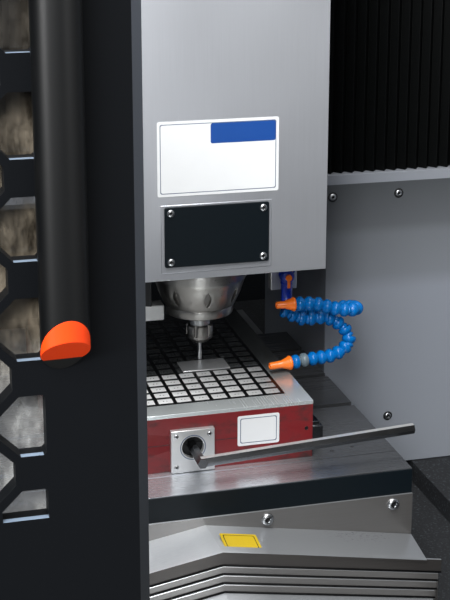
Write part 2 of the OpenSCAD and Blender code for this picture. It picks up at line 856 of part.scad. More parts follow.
// the left door, its edge at the stored gap
module door() {
    left = -door_gap - door_width;
    stile = -door_gap - stile_width;
    back = door_front + door_thick;
    columns_count = ceil((door_width - stile_width - outer_stile) / cell_column);
    row_count = floor((window_top - window_bottom) / cell_pitch);
    difference() {
        translate([0, back, 0]) rotate([90, 0, 0]) linear_extrude(door_thick) difference() {
            translate([left, door_bottom]) square([door_width, door_top - door_bottom]);
            intersection() {
                translate([left + outer_stile, window_bottom])
                    square([door_width - stile_width - outer_stile, window_top - window_bottom]);
                for (i = [0:columns_count]) for (j = [0:row_count])
                    translate([stile - 12 - cell_column * i, window_bottom + cell_pitch * (j + (i % 2) / 2)])
                        cell();
            }
        }
        translate([-door_gap, door_front, door_bottom - 1]) rotate(45)
            translate([-chamfer, -chamfer, 0])
                cube([2 * chamfer, chamfer * 1.7071, door_top - door_bottom + 2]);
    }
}

module window() {
    left = -door_gap - door_width;
    back = door_front + door_thick;
    block([left + 20, back, window_bottom - 12], [-door_gap - stile_width + 12, back + 4, window_top + 12]);
}

// heights of the slanted end of the handle tube and of its cap, before the turn
function tube_cut(y) = handle_diameter * 0.675 - 1.35 * y;
function cap_cut(y) = handle_diameter * 0.51 - 0.78 * y;

// the space below the slanted end of the tube, where the tube's lowest point is at 0
module below_cut() {
    reach = handle_diameter;
    rotate(handle_turn) rotate([90, 0, 90]) translate([0, 0, -reach]) linear_extrude(2 * reach) polygon([
        [-reach, tube_cut(-reach)], [reach, tube_cut(reach)], [reach, -2 * reach], [-reach, -2 * reach]
    ]);
}

// a tube, cut on the slant to the front at both ends, on two posts
module handle() {
    length = handle_high - handle_low;
    translate([-door_gap - handle_x, handle_y, handle_low]) {
        difference() {
            cylinder(h = length, d = handle_diameter);
            below_cut();
            translate([0, 0, length]) mirror([0, 0, 1]) below_cut();
        }
        for (z = [handle_post, length - handle_post]) translate([0, 0, z]) rotate([-90, 0, 0])
            cylinder(h = handle_diameter / 2 + 1, r = 9);
    }
}

// wedge-shaped cap on the slanted end of the handle
module handle_cap() {
    reach = handle_diameter;
    meet = handle_diameter * 0.165 / 0.57;
    intersection() {
        cylinder(h = 2 * reach, d = handle_diameter);
        rotate(handle_turn) rotate([90, 0, 90]) translate([0, 0, -reach]) linear_extrude(2 * reach) polygon([
            [-reach, tube_cut(-reach)], [-reach, cap_cut(-reach)], [meet, cap_cut(meet)]
        ]);
    }
}

module handle_caps() {
    translate([-door_gap - handle_x, handle_y, handle_low]) handle_cap();
    translate([-door_gap - handle_x, handle_y, handle_high]) mirror([0, 0, 1]) handle_cap();
}

module door_left() {
    color(dark) door();
}

module window_left() {
    color([0.7, 0.75, 0.78, 0.35]) window();
}

module handle_left() {
    color(black) handle();
}

module handle_caps_left() {
    color(orange) handle_caps();
}

module door_right() {
    color(dark) mirror([1, 0, 0]) door();
}

module window_right() {
    color([0.7, 0.75, 0.78, 0.35]) mirror([1, 0, 0]) window();
}

module handle_right() {
    color(black) mirror([1, 0, 0]) handle();
}

module handle_caps_right() {
    color(orange) mirror([1, 0, 0]) handle_caps();
}

bed();
leveling_feet();
columns();
cross_beam();
gantry_covers();
frame_rails();
axis_motors();
chamber_tray();
way_cover_base();
enclosure_sides();
enclosure_back();
front_panels();
front_frame();
console_housing();
console_screen();
console_keys();
cover_screws();
stop_button();
x_screw();
y_screw();
z_screw();
worktable();
table_band();
chuck_body();
chuck_plate();
socket_plate();
workpiece();
apron();
chuck_clamps();
table_screws();
chuck_cam();
cam_key();
way_cover_1();
way_cover_2();
way_cover_3();
bellows_left();
bellows_right();
x_saddle();
z_motor();
head_cover();
hatch_plate();
hatch_screws();
headstock();
spindle_housing();
coolant_block();
hoses();
nozzles();
valve_lever_upper();
valve_lever_lower();
spindle_shaft();
collet_nut();
cutting_tool();
door_left();
window_left();
handle_left();
handle_caps_left();
door_right();
window_right();
handle_right();
handle_caps_right();
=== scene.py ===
import json
import math

import bmesh
import bpy
from mathutils import Matrix, Vector

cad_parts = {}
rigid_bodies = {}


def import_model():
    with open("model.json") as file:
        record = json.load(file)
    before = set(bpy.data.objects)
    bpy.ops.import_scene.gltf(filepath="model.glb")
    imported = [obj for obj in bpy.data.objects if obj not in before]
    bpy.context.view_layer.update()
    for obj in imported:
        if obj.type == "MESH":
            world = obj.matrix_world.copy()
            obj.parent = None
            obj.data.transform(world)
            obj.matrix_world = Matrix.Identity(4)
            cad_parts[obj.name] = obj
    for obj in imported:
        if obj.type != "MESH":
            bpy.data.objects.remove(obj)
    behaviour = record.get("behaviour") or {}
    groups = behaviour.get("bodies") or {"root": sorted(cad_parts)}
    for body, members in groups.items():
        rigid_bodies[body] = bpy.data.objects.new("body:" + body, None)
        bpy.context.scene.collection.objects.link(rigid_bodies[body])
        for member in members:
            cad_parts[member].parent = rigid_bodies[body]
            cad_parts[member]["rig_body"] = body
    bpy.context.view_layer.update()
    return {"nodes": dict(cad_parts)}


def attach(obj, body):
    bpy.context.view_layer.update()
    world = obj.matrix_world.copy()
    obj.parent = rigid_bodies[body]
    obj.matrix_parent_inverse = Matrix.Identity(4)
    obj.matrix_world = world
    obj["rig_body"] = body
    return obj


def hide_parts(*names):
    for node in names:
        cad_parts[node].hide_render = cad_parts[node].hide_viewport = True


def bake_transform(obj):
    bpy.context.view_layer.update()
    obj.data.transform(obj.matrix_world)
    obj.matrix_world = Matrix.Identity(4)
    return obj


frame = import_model()
nodes = frame["nodes"]
print("frame loaded", len(nodes))

mm = 0.001


# colours and shader helpers

def paint(hexText):
    # sRGB hex to linear RGBA
    values = [int(hexText[i:i + 2], 16) / 255 for i in (1, 3, 5)]
    linear = [v / 12.92 if v <= 0.04045 else ((v + 0.055) / 1.055) ** 2.4 for v in values]
    return (*linear, 1.0)


def addNode(tree, kind, settings=None, inputs=None):
    # inputs may be plain values or output sockets
    made = tree.nodes.new(kind)
    for key, value in (settings or {}).items():
        setattr(made, key, value)
    for key, value in (inputs or {}).items():
        if isinstance(value, bpy.types.NodeSocket):
            tree.links.new(value, made.inputs[key])
        else:
            made.inputs[key].default_value = value
    return made


def newFinish(name, colour, metallic=0.0, roughness=0.5, **more):
    material = bpy.data.materials.new(name)
    material.use_nodes = True
    tree = material.node_tree
    shader = tree.nodes["Principled BSDF"]
    shader.inputs["Base Color"].default_value = paint(colour)
    shader.inputs["Metallic"].default_value = metallic
    shader.inputs["Roughness"].default_value = roughness
    for key, value in more.items():
        shader.inputs[key].default_value = value
    return material, tree, shader


def patternSpace(tree, scale):
    # object coordinates are metres, so a scale of 1 / size gives a pattern of that size
    place = addNode(tree, "ShaderNodeTexCoord")
    return addNode(tree, "ShaderNodeMapping", inputs={"Vector": place.outputs["Object"], "Scale": scale})


def brushedMetal(name, colour, grainAxis, roughness=0.34, shadeSpan=0.10, bump=0.05, metallic=0.8):
    # real brushing is about 0.2 mm apart; it is drawn 1.2 mm apart so that it shows
    material, tree, shader = newFinish(name, colour, metallic, roughness)
    along, across = 9.0, 830.0
    scale = [along if axis == grainAxis else across for axis in "xyz"]
    grain = addNode(tree, "ShaderNodeTexNoise", inputs={
        "Vector": patternSpace(tree, scale).outputs[0], "Scale": 1.0, "Detail": 3.0, "Roughness": 0.6})
    cloud = addNode(tree, "ShaderNodeTexNoise", inputs={
        "Vector": patternSpace(tree, (5.0, 5.0, 5.0)).outputs[0], "Scale": 1.0, "Detail": 1.0})
    mixed = addNode(tree, "ShaderNodeMath", {"operation": "MULTIPLY_ADD"}, {
        0: grain.outputs["Fac"], 1: 0.6, 2: cloud.outputs["Fac"]})
    rough = addNode(tree, "ShaderNodeMapRange", inputs={
        "Value": mixed.outputs[0], "From Min": 0.4, "From Max": 1.2,
        "To Min": roughness - 0.05, "To Max": roughness + 0.07})
    tree.links.new(rough.outputs[0], shader.inputs["Roughness"])
    base = paint(colour)
    low = tuple(v * (1 - shadeSpan) for v in base[:3]) + (1.0,)
    high = tuple(min(1.0, v * (1 + shadeSpan)) for v in base[:3]) + (1.0,)
    streak = addNode(tree, "ShaderNodeMapRange", inputs={
        "Value": mixed.outputs[0], "From Min": 0.55, "From Max": 1.05})
    tone = addNode(tree, "ShaderNodeMix", {"data_type": "RGBA"}, {
        0: streak.outputs[0], 6: low, 7: high})
    tree.links.new(tone.outputs[2], shader.inputs["Base Color"])
    relief = addNode(tree, "ShaderNodeBump", inputs={
        "Height": grain.outputs["Fac"], "Strength": bump, "Distance": 0.0004})
    tree.links.new(relief.outputs[0], shader.inputs["Normal"])
    return material, tree, shader


def texturedPaint(name, colour, roughness, grain=0.0012, bump=0.12, level=0.5):
    # powder coat: a fine orange-peel grain that breaks up the highlights
    material, tree, shader = newFinish(name, colour, 0.0, roughness, IOR=1.5)
    shader.inputs["Specular IOR Level"].default_value = level
    peel = addNode(tree, "ShaderNodeTexNoise", inputs={
        "Vector": patternSpace(tree, (1 / grain,) * 3).outputs[0], "Scale": 1.0, "Detail": 1.0})
    relief = addNode(tree, "ShaderNodeBump", inputs={
        "Height": peel.outputs["Fac"], "Strength": bump, "Distance": 0.0003})
    tree.links.new(relief.outputs[0], shader.inputs["Normal"])
    return material, tree, shader


def mouldedPlastic(name, colour, roughness, level=0.5, mottling=0.05, metallic=0.0):
    # flow clouds about 20 mm across under a fine mould grain of 0.6 mm
    material, tree, shader = newFinish(name, colour, metallic, roughness, IOR=1.49)
    shader.inputs["Specular IOR Level"].default_value = level
    cloud = addNode(tree, "ShaderNodeTexNoise", inputs={
        "Vector": patternSpace(tree, (50.0,) * 3).outputs[0], "Scale": 1.0, "Detail": 2.0})
    base = paint(colour)
    low = tuple(v * (1 - mottling) for v in base[:3]) + (1.0,)
    high = tuple(min(1.0, v * (1 + mottling)) for v in base[:3]) + (1.0,)
    tone = addNode(tree, "ShaderNodeMix", {"data_type": "RGBA"}, {0: cloud.outputs["Fac"], 6: low, 7: high})
    tree.links.new(tone.outputs[2], shader.inputs["Base Color"])
    rough = addNode(tree, "ShaderNodeMapRange", inputs={
        "Value": cloud.outputs["Fac"], "To Min": roughness - 0.05, "To Max": roughness + 0.05})
    tree.links.new(rough.outputs[0], shader.inputs["Roughness"])
    grain = addNode(tree, "ShaderNodeTexNoise", inputs={
        "Vector": patternSpace(tree, (1 / 0.0006,) * 3).outputs[0], "Scale": 1.0, "Detail": 1.0})
    relief = addNode(tree, "ShaderNodeBump", inputs={
        "Height": grain.outputs["Fac"], "Strength": 0.05, "Distance": 0.0001})
    tree.links.new(relief.outputs[0], shader.inputs["Normal"])
    return material, tree, shader


def speckledPaint(name, colour, fleck):
    # rough protective coat with pale flecks about 3 mm across
    material, tree, shader = newFinish(name, colour, 0.0, 0.62, IOR=1.5)
    space = patternSpace(tree, (1 / 0.0035,) * 3)
    grit = addNode(tree, "ShaderNodeTexNoise", inputs={
        "Vector": space.outputs[0], "Scale": 1.0, "Detail": 4.0})
    mask = addNode(tree, "ShaderNodeMapRange", inputs={
        "Value": grit.outputs["Fac"], "From Min": 0.56, "From Max": 0.72})
    tone = addNode(tree, "ShaderNodeMix", {"data_type": "RGBA"}, {
        0: mask.outputs[0], 6: paint(colour), 7: paint(fleck)})
    tree.links.new(tone.outputs[2], shader.inputs["Base Color"])
    relief = addNode(tree, "ShaderNodeBump", inputs={
        "Height": grit.outputs["Fac"], "Strength": 0.5, "Distance": 0.001})
    tree.links.new(relief.outputs[0], shader.inputs["Normal"])
    return material


def scuffedPaint(name, colour, worn):
    # glossy enamel, rubbed dull and dark in patches about 40 mm wide and 25 mm high
    material, tree, shader = newFinish(name, colour, 0.0, 0.36, IOR=1.5)
    patches = addNode(tree, "ShaderNodeTexNoise", inputs={
        "Vector": patternSpace(tree, (24.0, 24.0, 40.0)).outputs[0],
        "Scale": 1.0, "Detail": 6.0, "Roughness": 0.65})
    mask = addNode(tree, "ShaderNodeMapRange", inputs={
        "Value": patches.outputs["Fac"], "From Min": 0.53, "From Max": 0.69})
    tone = addNode(tree, "ShaderNodeMix", {"data_type": "RGBA"}, {
        0: mask.outputs[0], 6: paint(colour), 7: paint(worn)})
    tree.links.new(tone.outputs[2], shader.inputs["Base Color"])
    rough = addNode(tree, "ShaderNodeMapRange", inputs={
        "Value": patches.outputs["Fac"], "From Min": 0.4, "From Max": 0.7, "To Min": 0.3, "To Max": 0.55})
    tree.links.new(rough.outputs[0], shader.inputs["Roughness"])
    return material


def shadedBy(finish, axis, stops):
    # the base colour changes along one axis; stops are (metres, colour)
    material, tree, shader = finish
    place = addNode(tree, "ShaderNodeTexCoord")
    parts = addNode(tree, "ShaderNodeSeparateXYZ", inputs={0: place.outputs["Object"]})
    low, high = stops[0][0], stops[-1][0]
    along = addNode(tree, "ShaderNodeMapRange", inputs={
        "Value": parts.outputs[axis], "From Min": low, "From Max": high})
    ramp = addNode(tree, "ShaderNodeValToRGB", inputs={0: along.outputs[0]})
    points = ramp.color_ramp.elements
    while len(points) < len(stops):
        points.new(0.5)
    for point, (place, colour) in zip(points, stops):
        point.position = (place - low) / (high - low)
        point.color = paint(colour)
    old = shader.inputs["Base Color"]
    if old.is_linked:
        tint = addNode(tree, "ShaderNodeMix", {"data_type": "RGBA", "blend_type": "MULTIPLY"}, {
            0: 1.0, 6: old.links[0].from_socket, 7: ramp.outputs[0]})
        tree.links.new(tint.outputs[2], old)
    else:
        tree.links.new(ramp.outputs[0], old)
    return material


finishes = {
    # stainless sheet, brushed: soft streaked highlights
    # the head cover is painted lighter around 1.26 to 1.4 m and darker towards its bottom edge and its top:
    # painted light and shade along Z
    "coverSheet": shadedBy(brushedMetal("coverSheet", "#c0c3c9", "z", 0.42, 0.05, 0.02, 0.7), "Z", [
        (1.09, "#dedede"), (1.16, "#eeeeee"), (1.26, "#ffffff"), (1.40, "#fcfcfc"), (1.6, "#e6e6e6")]),
    # the apron and way covers are painted light on the left and shaded on the right: painted light along X
    "apronSheet": shadedBy(brushedMetal("apronSheet", "#eef2f8", "x", 0.30, 0.10, 0.03, 0.5), "X", [
        (-0.28, "#ffffff"), (-0.02, "#f2f2f2"), (0.06, "#a9a9a9"), (0.28, "#949494")]),
    # darker copies of the same sheet: painted shade on the upright folds, darker still on the apron's lip
    "foldSheet": brushedMetal("foldSheet", "#8f8d8b", "x", 0.34, 0.08, 0.04)[0],
    "lipSheet": brushedMetal("lipSheet", "#595654", "x", 0.40, 0.10, 0.04)[0],
    # the table top is painted light on the left and shaded on the right: painted light along X
    "tableSteel": shadedBy(brushedMetal("tableSteel", "#e2e6ec", "x", 0.26, 0.12, 0.04, 0.76), "X", [
        (-0.28, "#ffffff"), (0.08, "#f0f0f0"), (0.17, "#8e8e8e"), (0.28, "#7c7c7c")]),
    # ground tool steel: fine marks, brighter and sharper; the plate is painted darker towards its far end:
    # painted shade for the head's shadow and the dark reflection over the rear rows
    "groundSteel": brushedMetal("groundSteel", "#dcdddd", "y", 0.30, 0.05, 0.03, 0.7)[0],
    "plateSteel": shadedBy(brushedMetal("plateSteel", "#e2e8e8", "y", 0.24, 0.04, 0.03, 0.62), "Y", [
        (-0.28, "#ffffff"), (-0.19, "#d0d0d0"), (-0.12, "#6c6c6c"), (0.13, "#333333")]),
    # the lit front rows of poles: a bright, less metallic copy of the plate's steel, lighter on the left:
    # painted light
    "poleSteel": shadedBy(brushedMetal("poleSteel", "#f2f3f2", "y", 0.42, 0.04, 0.02, 0.15), "X", [
        (-0.14, "#ffffff"), (-0.02, "#fafafa"), (0.06, "#d4d4d4"), (0.14, "#a4a4a4")]),
    "turnedSteel": brushedMetal("turnedSteel", "#bcbec0", "x", 0.27, 0.05, 0.03, 1.0)[0],
    "noseSteel": brushedMetal("noseSteel", "#9c9a97", "x", 0.27, 0.05, 0.02, 1.0)[0],
    "bracketDark": brushedMetal("bracketDark", "#2b2c2e", "z", 0.42, 0.10, 0.04, 0.5)[0],
    "keySteel": brushedMetal("keySteel", "#6c6e71", "x", 0.22, 0.15, 0.06, 1.0)[0],
    # powder-coated sheet: an even colour, with a fine grain in the highlights
    "doorBlack": texturedPaint("doorBlack", "#090b0e", 0.48, level=0.08)[0],
    # the doors' leading chamfer: lighter than the door and darker lower down: painted highlight and painted
    # shade
    "edgeGrey": shadedBy(texturedPaint("edgeGrey", "#50545c", 0.42), "Z", [
        (0.74, "#0e0f11"), (1.0, "#1c1f23"), (1.3, "#33373d"), (1.7, "#4c5058")]),
    # the up-facing bar edges in the doors' openings: a painted glint of the lamp above
    "paintedGlintEdge": brushedMetal("paintedGlintEdge", "#a3b8d0", "x", 0.36, 0.06, 0.03, 0.4)[0],
    # the grey covers are painted darker towards the top, darkest under the ledge: painted shade cast by the
    # ledge
    "coverGrey": shadedBy(texturedPaint("coverGrey", "#868a91", 0.42), "Z", [
        (0.0, "#8f949c"), (0.70, "#8d929a"), (0.97, "#898e97"), (0.995, "#797d83"),
        (1.06, "#6f7378"), (1.075, "#5e6165"), (1.143, "#4a4d50")]),
    "ledgeGrey": texturedPaint("ledgeGrey", "#8d9198", 0.36)[0],
    "shellGrey": texturedPaint("shellGrey", "#868a91", 0.42)[0],
    "bandNavy": texturedPaint("bandNavy", "#0b1318", 0.42, level=0.2)[0],
    # the castings are painted near black: painted shade for the machine's dark inside
    "castingShadeBlack": texturedPaint("castingShadeBlack", "#0f1113", 0.55, 0.003, 0.3, 0.15)[0],
    "innerGrey": texturedPaint("innerGrey", "#24272b", 0.5, level=0.2)[0],
    "consoleGrey": texturedPaint("consoleGrey", "#2a2e33", 0.45)[0],
    "trayBlack": speckledPaint("trayBlack", "#101215", "#43484d"),
    # brush-painted enamel on the chuck: glossy where it is whole, dull where it is rubbed
    "chuckRed": scuffedPaint("chuckRed", "#771d21", "#3d2322"),
    # anodised aluminium tube: deep black under one long soft highlight
    "handleBlack": texturedPaint("handleBlack", "#020304", 0.42, level=0.28, bump=0.03)[0],
    # injection-moulded plastics: even colour, soft sheen
    "hoseBlue": mouldedPlastic("hoseBlue", "#0067b2", 0.26, 0.35)[0],
    "valveBlue": mouldedPlastic("valveBlue", "#12309c", 0.28)[0],
    "clearSegment": mouldedPlastic("clearSegment", "#66747c", 0.2)[0],
    "nozzleOrange": mouldedPlastic("nozzleOrange", "#ff7a1e", 0.34)[0],
    "capOrange": mouldedPlastic("capOrange", "#f2430a", 0.44, 0.35)[0],
    "keyPlastic": mouldedPlastic("keyPlastic", "#cfd2d4", 0.5)[0],
    "stopRed": mouldedPlastic("stopRed", "#c0181c", 0.35)[0],
    # wiper rubber and coated cloth: black that gives back almost no light
    "wiperRubber": texturedPaint("wiperRubber", "#040405", 0.6, level=0.15)[0],
    "bellowsCloth": texturedPaint("bellowsCloth", "#020303", 0.45, level=0.12, bump=0.0)[0],
    # small dark parts, glass and printed plates: smooth, with a faint mottling
    "socketBlack": mouldedPlastic("socketBlack", "#141517", 0.4, metallic=0.2)[0],
    "poleFiller": mouldedPlastic("poleFiller", "#060607", 0.35, mottling=0.3)[0],
    "screenGlass": mouldedPlastic("screenGlass", "#0a0f14", 0.12, mottling=0.02)[0],
    "platePlain": mouldedPlastic("platePlain", "#e9ebec", 0.35, mottling=0.015)[0],
    "plateBlue": mouldedPlastic("plateBlue", "#1c4a94", 0.35, mottling=0.03)[0],
    "plateLine": mouldedPlastic("plateLine", "#5d6a80", 0.35, mottling=0.03)[0],
    "plateYellow": mouldedPlastic("plateYellow", "#c3a61f", 0.4)[0],
    "plateBlack": mouldedPlastic("plateBlack", "#161616", 0.4)[0],
    "motorBlack": mouldedPlastic("motorBlack", "#15171a", 0.38)[0],
}


windowLook = {
    "streaks": (80.0, 80.0, 36.0),  # per metre, so 12 mm wide and 28 mm high
    # the pale streaks over the tint are a painted reflection of the chamber
    "tint": "#40392f", "reflectionStreaks": "#e6dccb", "streaksFrom": 0.35, "streaksTo": 0.7,
    "thinnest": 0.30, "thickest": 0.62,
    "wipedBelow": 1.19, "wholeAbove": 1.25, "wipedShare": 0.75,
    # painted light of the lit steel covers seen through the lower part, painted shade above
    "shade": [(0.9, "#e4efff"), (1.19, "#dde8f8"), (1.25, "#a8a39b"), (1.42, "#a09c96"),
              (1.48, "#555453"), (1.9, "#555453")],
}


def windowSheet():
    # polycarbonate with a brown tint; its pale streaks are a painted reflection of the chamber, and along Z
    # it is painted lighter and bluer low down, where lit steel covers show through, and darker above
    look = windowLook
    material, tree, shader = newFinish("windowSheet", "#3a342d", 0.0, 0.12, IOR=1.5)
    reflectionStreaks = addNode(tree, "ShaderNodeTexNoise", inputs={
        "Vector": patternSpace(tree, look["streaks"]).outputs[0],
        "Scale": 1.0, "Detail": 5.0, "Roughness": 0.65})
    mask = addNode(tree, "ShaderNodeMapRange", inputs={
        "Value": reflectionStreaks.outputs["Fac"], "From Min": look["streaksFrom"], "From Max": look["streaksTo"]})
    tone = addNode(tree, "ShaderNodeMix", {"data_type": "RGBA"}, {
        0: mask.outputs[0], 6: paint(look["tint"]), 7: paint(look["reflectionStreaks"])})
    tree.links.new(tone.outputs[2], shader.inputs["Base Color"])
    shadedBy((material, tree, shader), "Z", look["shade"])
    cover = addNode(tree, "ShaderNodeMapRange", inputs={
        "Value": reflectionStreaks.outputs["Fac"], "From Min": look["streaksFrom"], "From Max": look["streaksTo"],
        "To Min": look["thinnest"], "To Max": look["thickest"]})
    # the lower part is wiped clean
    place = addNode(tree, "ShaderNodeTexCoord")
    parts = addNode(tree, "ShaderNodeSeparateXYZ", inputs={0: place.outputs["Object"]})
    wiped = addNode(tree, "ShaderNodeMapRange", inputs={
        "Value": parts.outputs["Z"], "From Min": look["wipedBelow"], "From Max": look["wholeAbove"],
        "To Min": look["wipedShare"], "To Max": 1.0})
    kept = addNode(tree, "ShaderNodeMath", {"operation": "MULTIPLY"}, {
        0: cover.outputs[0], 1: wiped.outputs[0]})
    tree.links.new(kept.outputs[0], shader.inputs["Alpha"])
    return material


finishes["windowSheet"] = windowSheet()
print("finishes made", len(finishes))


# mesh helpers


def keep(name, bm, finish, body, replaced=(), smooth=None):
    # the bmesh becomes a piece on its body; finish is one name or a list, smooth an angle in degrees
    mesh = bpy.data.meshes.new(name)
    bm.to_mesh(mesh)
    bm.free()
    piece = bpy.data.objects.new(name, mesh)
    bpy.context.scene.collection.objects.link(piece)
    chosen = [finish] if isinstance(finish, str) else finish
    for entry in chosen:
        mesh.materials.append(finishes[entry])
    if smooth is not None:
        for face in mesh.polygons:
            face.use_smooth = True
        mesh.set_sharp_from_angle(angle=math.radians(smooth))
    if replaced:
        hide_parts(*replaced)
    if body:
        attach(piece, body)
    return piece


def roundEdges(piece, width, segments=2, angle=30):
    # a small radius on every edge, so that it catches the light
    modifier = piece.modifiers.new("roundEdges", "BEVEL")
    modifier.width = width
    modifier.segments = segments
    modifier.limit_method = "ANGLE"
    modifier.angle_limit = math.radians(angle)
    modifier.profile = 0.5
    modifier.use_clamp_overlap = True
    modifier.harden_normals = False
    return piece


def dressed(node, finish, radius, others=(), chosen=None, seam=None):
    # the CAD piece with its edges rounded; chosen(face) gives the number of the face's finish,
    # and seam is a plane that splits faces, so that each side can have its own
    bm = bmesh.new()
    bm.from_mesh(nodes[node].data)
    bmesh.ops.remove_doubles(bm, verts=bm.verts, dist=2e-6)
    bmesh.ops.dissolve_limit(bm, angle_limit=math.radians(0.5), verts=bm.verts, edges=bm.edges)
    if seam:
        through, normal = seam
        bmesh.ops.bisect_plane(bm, geom=bm.verts[:] + bm.edges[:] + bm.faces[:], dist=1e-6,
                               plane_co=through, plane_no=normal)
    for face in bm.faces:
        face.material_index = chosen(face) if chosen else 0
    piece = keep(node + "Dressed", bm, [finish, *others], nodes[node]["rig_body"], [node], smooth=32)
    return roundEdges(piece, radius)


def turned(profile, segments=36):
    # profile points are (radius, height) in mm, spun about Z
    bm = bmesh.new()
    points = [bm.verts.new((r * mm, 0, z * mm)) for r, z in profile]
    rim = [bm.edges.new(pair) for pair in zip(points, points[1:])]
    bmesh.ops.spin(bm, geom=points + rim, cent=(0, 0, 0), axis=(0, 0, 1), dvec=(0, 0, 0),
                   angle=math.tau, steps=segments, use_merge=True)
    bmesh.ops.remove_doubles(bm, verts=bm.verts, dist=1e-6)
    bmesh.ops.recalc_face_normals(bm, faces=bm.faces)
    return bm


def addCopy(target, source, matrix):
    # a transformed copy of one bmesh inside another
    before = len(target.verts)
    mesh = bpy.data.meshes.new("copy")
    source.to_mesh(mesh)
    target.from_mesh(mesh)
    bpy.data.meshes.remove(mesh)
    target.verts.ensure_lookup_table()
    bmesh.ops.transform(target, matrix=matrix, verts=target.verts[before:], space=Matrix.Identity(4))


def facing(direction):
    return Vector(direction).to_track_quat("Z", "Y").to_matrix().to_4x4()


# camera

cameraView = {"place": (-0.392, -1.936, 1.638), "yaw": 14.73, "pitch": 14.36, "lens": 84.74,
              "shift": -0.15}
camera = bpy.data.objects.new("camera", bpy.data.cameras.new("camera"))
bpy.context.scene.collection.objects.link(camera)
camera.location = cameraView["place"]
camera.rotation_euler = (math.radians(90 - cameraView["pitch"]), 0, math.radians(-cameraView["yaw"]))
camera.data.lens = cameraView["lens"]
camera.data.shift_y = cameraView["shift"]
camera.data.clip_start = 0.05
bpy.context.scene.camera = camera
print("camera placed")


# coolant hoses, valves and nozzles

# millimetres; the paths are the centres of the segments, and the tips the ends of the nozzles
hoseSize = {"radius": 10.0, "ballRadius": 7.6, "valveHeight": 1057.0, "valveTop": 1071, "valveRadius": 7.5}
upperPath = [
    (186, -88, 1002), (196.7, -85.6, 994.1), (209.3, -83.5, 989.7), (222.6, -82.4, 987.8),
    (236.1, -82.9, 988.1), (249.2, -85.8, 989.9), (260.8, -92.1, 992.8), (269.3, -102, 996.4),
    (274.3, -114, 999.9), (275.4, -127.1, 1003.2), (272.1, -139.9, 1006), (261.4, -147.9, 1007.5),
    (248.2, -150.1, 1009.7), (235, -150, 1012.6), (222.3, -150.1, 1017.2), (209.4, -150, 1021.3),
    (196, -150, 1022.8), (182.5, -150, 1023.6)]
lowerPath = [
    (174.1, -122, 1003.7), (185.8, -124.4, 997.2), (198.3, -127, 992.6), (211.7, -129.3, 992.8),
    (225, -131.8, 993.8), (238, -134.5, 990.6), (249.2, -137, 983.4), (257.9, -140.5, 973.5),
    (260.6, -145.4, 961.1), (252, -149, 951.3), (239.9, -151.8, 945.8), (226.7, -154.4, 943.5),
    (213.3, -156.7, 943.5), (199.9, -158.8, 943.5), (186.5, -161.1, 943.5), (173.3, -164.4, 943.5)]
nozzleTips = [(151, -150, 1024), (137, -168, 942)]


def hoseSegment():
    # a cup behind, a waist, and the ball that snaps into the next cup
    r, b = hoseSize["radius"], hoseSize["ballRadius"]
    profile = [(r * 0.55, -5.2), (r * 0.78, -6.2), (r * 0.95, -5.6), (r, -4.0), (r, -1.6),
               (r * 0.93, 0.6), (r * 0.72, 2.6), (r * 0.62, 3.8), (b * 0.86, 4.6), (b, 6.6),
               (b * 0.9, 8.6), (b * 0.55, 9.8), (0, 10.2)]
    return turned(profile, 28)


def hoseRun(name, path, tip, clearAt=None):
    # a chain of segments, each turned along its path; the one at clearAt is clear plastic
    segment = hoseSegment()
    chain = bmesh.new()
    clear = bmesh.new()
    for i, point in enumerate(path):
        ahead = Vector(path[i + 1] if i + 1 < len(path) else tip)
        behind = Vector(path[max(i - 1, 0)])
        matrix = Matrix.Translation(Vector(point) * mm) @ facing(ahead - behind)
        addCopy(clear if i == clearAt else chain, segment, matrix)
    segment.free()
    keep(name, chain, "hoseBlue", "head", ["hoses"] if clearAt is None else [], smooth=50)
    if clearAt is not None:
        keep(name + "ClearSegment", clear, "clearSegment", "head", smooth=50)
    else:
        clear.free()


hoseRun("upperHose", upperPath, nozzleTips[0])
hoseRun("lowerHose", lowerPath, nozzleTips[1], clearAt=len(lowerPath) - 2)


def coolantValves():
    bm = bmesh.new()
    middle, top, wide = hoseSize["valveHeight"], hoseSize["valveTop"], hoseSize["valveRadius"]
    for path in (upperPath, lowerPath):
        x, y, low = path[0]
        body = turned([(0, low - 2), (5.4, low - 2), (6.2, low + 6), (wide, low + 8), (wide, middle - 12),
                       (8.4, middle - 11), (8.4, middle - 7), (7, middle - 5), (7, top), (0, top)], 32)
        addCopy(bm, body, Matrix.Translation((x * mm, y * mm, 0)))
        body.free()
        knob = turned([(0, -8), (8.6, -8), (9.8, -6.6), (10, -4), (10, 6.5), (9, 8.6), (6, 10),
                       (0, 10)], 32)
        addCopy(bm, knob, Matrix.Translation((x * mm, y * mm, middle * mm)) @ facing((0, -1, 0)))
        knob.free()
    keep("coolantValves", bm, "valveBlue", "head", smooth=40)


def nozzleRun():
    # a collar on the last segment, a cone and its bore
    bm = bmesh.new()
    for path, tip in zip((upperPath, lowerPath), nozzleTips):
        start, end = Vector(path[-1]), Vector(tip)
        reach = (end - start).length
        body = turned([(5.2, 4.6), (9.2, 4.6), (10, 5.8), (10, 7.4), (9.2, 8.6), (8.6, 9.4), (6.0, 17.5),
                       (5.3, 18.4), (4.9, reach - 1), (4.4, reach), (3.0, reach), (3.2, 21), (5.2, 12),
                       (5.2, 4.6)], 36)
        addCopy(bm, body, Matrix.Translation(start * mm) @ facing(end - start))
        body.free()
    keep("hoseNozzles", bm, "nozzleOrange", "head", ["nozzles"], smooth=40)


coolantValves()
nozzleRun()
print("coolant made")


# marks on the front of the chuck

